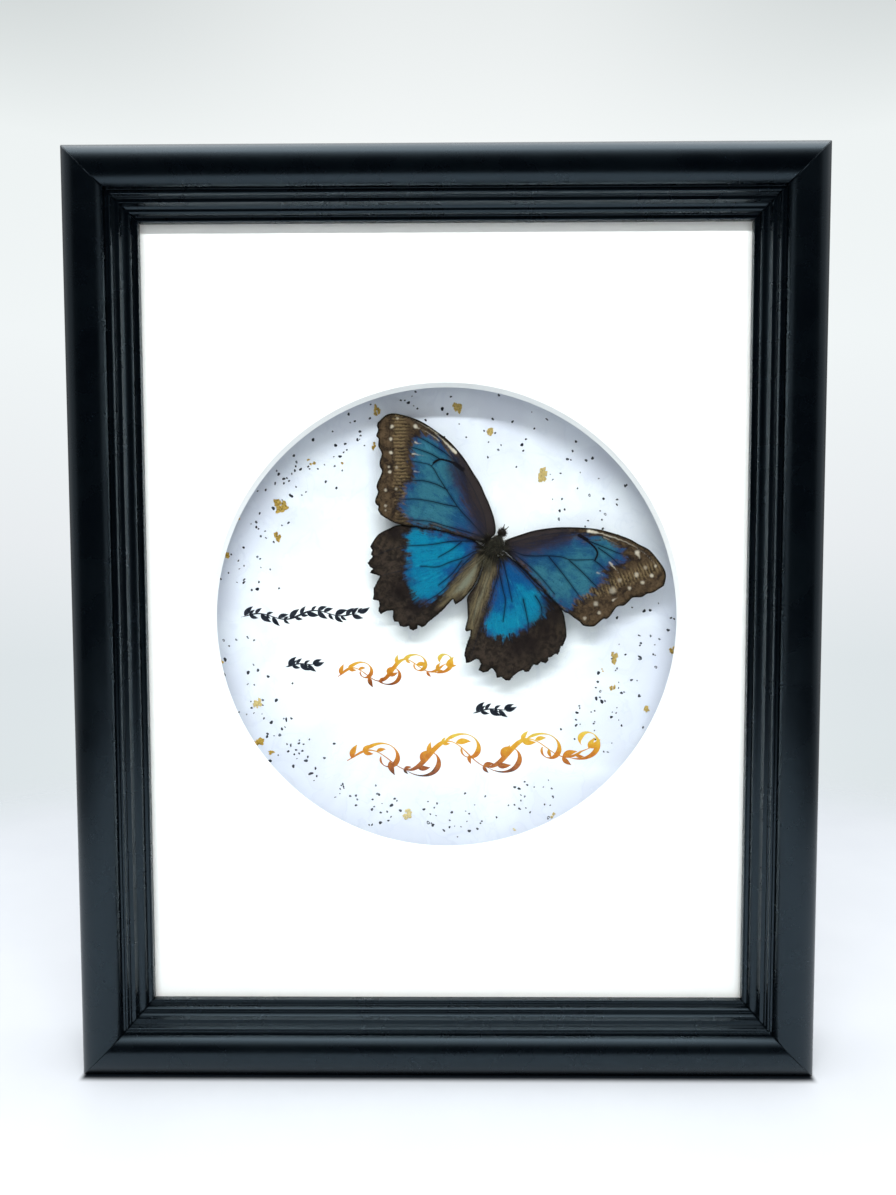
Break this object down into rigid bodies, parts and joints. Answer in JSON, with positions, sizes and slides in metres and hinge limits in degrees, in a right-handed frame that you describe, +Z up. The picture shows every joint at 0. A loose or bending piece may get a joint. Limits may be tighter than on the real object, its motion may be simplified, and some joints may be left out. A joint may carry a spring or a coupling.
{
  "type": "framed butterfly specimen",
  "caption": "Blue butterfly mounted behind glass in a deep black moulded frame, with a round-cut white mat and a sawtooth hanger at the back.",
  "frame": {"origin": "under the middle of the object's box, on the surface that the frame stands on", "axes": "+X to the right of a viewer who faces the glass, +Y from the glass to the back, +Z up the frame"},
  "size_m": [0.32, 0.0494, 0.3984],
  "materials": {
    "black_frame": "black satin lacquer over wood moulding",
    "clear_glass": "clear polished picture glass",
    "white_mat": "smooth white mat board with a white bevelled core",
    "white_spacer": "white foam-core strip",
    "watercolour_paper": "pale blue watercolour wash with ink specks and gold leaf",
    "fibreboard": "brown hardboard",
    "plated_steel": "zinc-plated steel",
    "cork": "natural cork",
    "body_fur": "dense dark olive-black hair",
    "antenna_black": "matt black horny cuticle",
    "wing_scales": "iridescent blue scales with dark brown margins"
  },
  "bodies": {
    "root": {"rail_top": "black_frame", "rail_bottom": "black_frame", "rail_left": "black_frame", "rail_right": "black_frame", "glass_pane": "clear_glass", "mat_board": "white_mat", "spacer_top": "white_spacer", "spacer_bottom": "white_spacer", "spacer_left": "white_spacer", "spacer_right": "white_spacer", "print_board": "watercolour_paper", "back_board": "fibreboard", "retaining_tab_1": "plated_steel", "retaining_tab_2": "plated_steel", "retaining_tab_3": "plated_steel", "retaining_tab_4": "plated_steel", "retaining_tab_5": "plated_steel", "retaining_tab_6": "plated_steel", "retaining_tab_7": "plated_steel", "retaining_tab_8": "plated_steel", "sawtooth_hanger": "plated_steel", "hanger_nail_left": "plated_steel", "hanger_nail_right": "plated_steel", "cork_standoff": "cork", "thorax": "body_fur", "head": "body_fur", "antenna_stub_left": "antenna_black", "antenna_stub_right": "antenna_black", "forewing_left": "wing_scales", "forewing_right": "wing_scales", "hindwing_left": "wing_scales", "hindwing_right": "wing_scales"}
  },
  "joints": []
}
